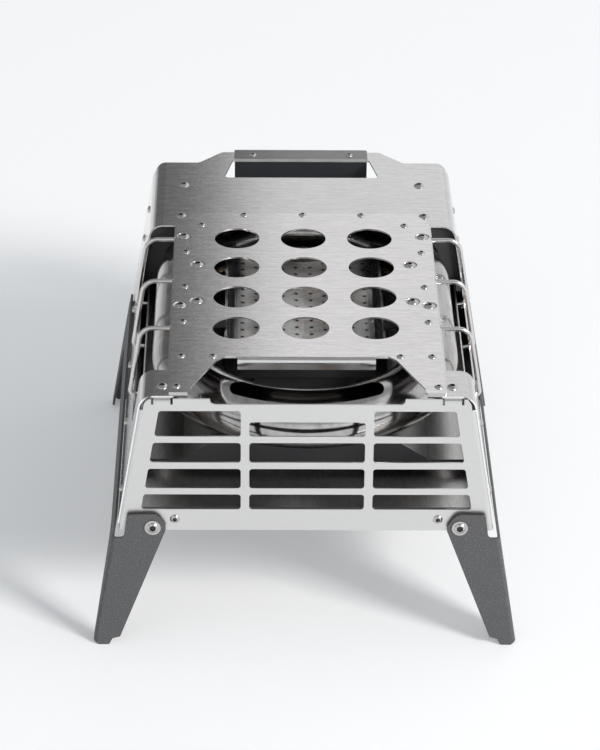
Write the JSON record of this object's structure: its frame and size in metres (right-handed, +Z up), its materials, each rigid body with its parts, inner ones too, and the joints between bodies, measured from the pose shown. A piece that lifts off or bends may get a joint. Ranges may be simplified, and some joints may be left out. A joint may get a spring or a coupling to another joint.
{
  "type": "portable propane fire pit with folding legs",
  "caption": "Portable propane fire pit: slotted radiant tube loop around a flame bed, in a brushed steel shell with a grille, hand opening and folding leg frames.",
  "frame": {"origin": "on the ground under the middle of the footprint, legs unfolded", "axes": "+X to the right seen from the front grille, +Y from the grille to the handle and gas inlet, +Z up"},
  "size_m": [0.3636, 0.4938, 0.2436],
  "materials": {
    "shell_steel": "brushed",
    "panel_steel": "brushed",
    "grille_steel": "satin",
    "plate_steel": "brushed",
    "tray_steel": "brushed",
    "tube_steel": "polished, heat tinted",
    "bed_steel": "heat stained",
    "dark_steel": "matte",
    "leg_paint": "textured powder coat",
    "screw_steel": "polished",
    "wire_steel": "polished",
    "strip_steel": "brushed",
    "grip_rubber": "smooth",
    "knob_plastic": "matte",
    "brass": "machined",
    "zinc": "zinc plated"
  },
  "bodies": {
    "frame": {"shell": "shell_steel", "top_panel": "panel_steel", "front_grille": "grille_steel", "rear_plate": "plate_steel", "bottom_pan": "tray_steel", "heat_tray": "tray_steel", "tray_spacers": "zinc", "burner_tube": "tube_steel", "tube_hanger_left": "dark_steel", "tube_hanger_right": "dark_steel", "flame_bed": "bed_steel", "gas_box": "dark_steel", "bed_brackets": "dark_steel", "bed_venturi": "brass", "tube_injector": "brass", "gas_manifold": "brass", "bed_valve": "brass", "tube_valve": "brass", "valve_nuts": "zinc", "gas_jets": "brass", "gas_inlet": "brass", "inlet_nut": "zinc", "guard_wire_left_front": "wire_steel", "guard_wire_left_middle": "wire_steel", "guard_wire_left_rear": "wire_steel", "guard_wire_right_front": "wire_steel", "guard_wire_right_middle": "wire_steel", "guard_wire_right_rear": "wire_steel", "guard_bar_left": "dark_steel", "guard_bar_right": "dark_steel", "guard_screws": "screw_steel", "guard_washers": "screw_steel", "panel_screws": "screw_steel", "shell_screws": "screw_steel", "side_screws": "screw_steel", "plate_screws": "screw_steel", "plate_nuts": "zinc", "handle_grip": "grip_rubber", "handle_strip": "strip_steel", "handle_screws": "screw_steel", "leg_screws": "screw_steel", "leg_bushes": "brass", "leg_nuts": "zinc"},
    "leg_frame_left": {"leg_frame_left": "leg_paint"},
    "leg_frame_right": {"leg_frame_right": "leg_paint"},
    "bed_knob": {"bed_knob": "knob_plastic", "bed_valve_stem": "zinc"},
    "tube_knob": {"tube_knob": "knob_plastic", "tube_valve_stem": "zinc"}
  },
  "joints": [
    {"name": "leg_left_fold", "type": "hinge", "parent": "frame", "child": "leg_frame_left", "pos_m": [-0.1296, -0.24277, 0.1179], "axis": [0, -1, 0], "range_deg": [0, 99.5]},
    {"name": "leg_right_fold", "type": "hinge", "parent": "frame", "child": "leg_frame_right", "pos_m": [0.1296, -0.24277, 0.1179], "axis": [0, 1, 0], "range_deg": [0, 99.5]},
    {"name": "bed_knob_turn", "type": "hinge", "parent": "frame", "child": "bed_knob", "pos_m": [0.03, 0.19662, 0.16], "axis": [0, 1, 0], "range_deg": [0, 210]},
    {"name": "tube_knob_turn", "type": "hinge", "parent": "frame", "child": "tube_knob", "pos_m": [-0.03, 0.19662, 0.16], "axis": [0, 1, 0], "range_deg": [0, 210]}
  ]
}
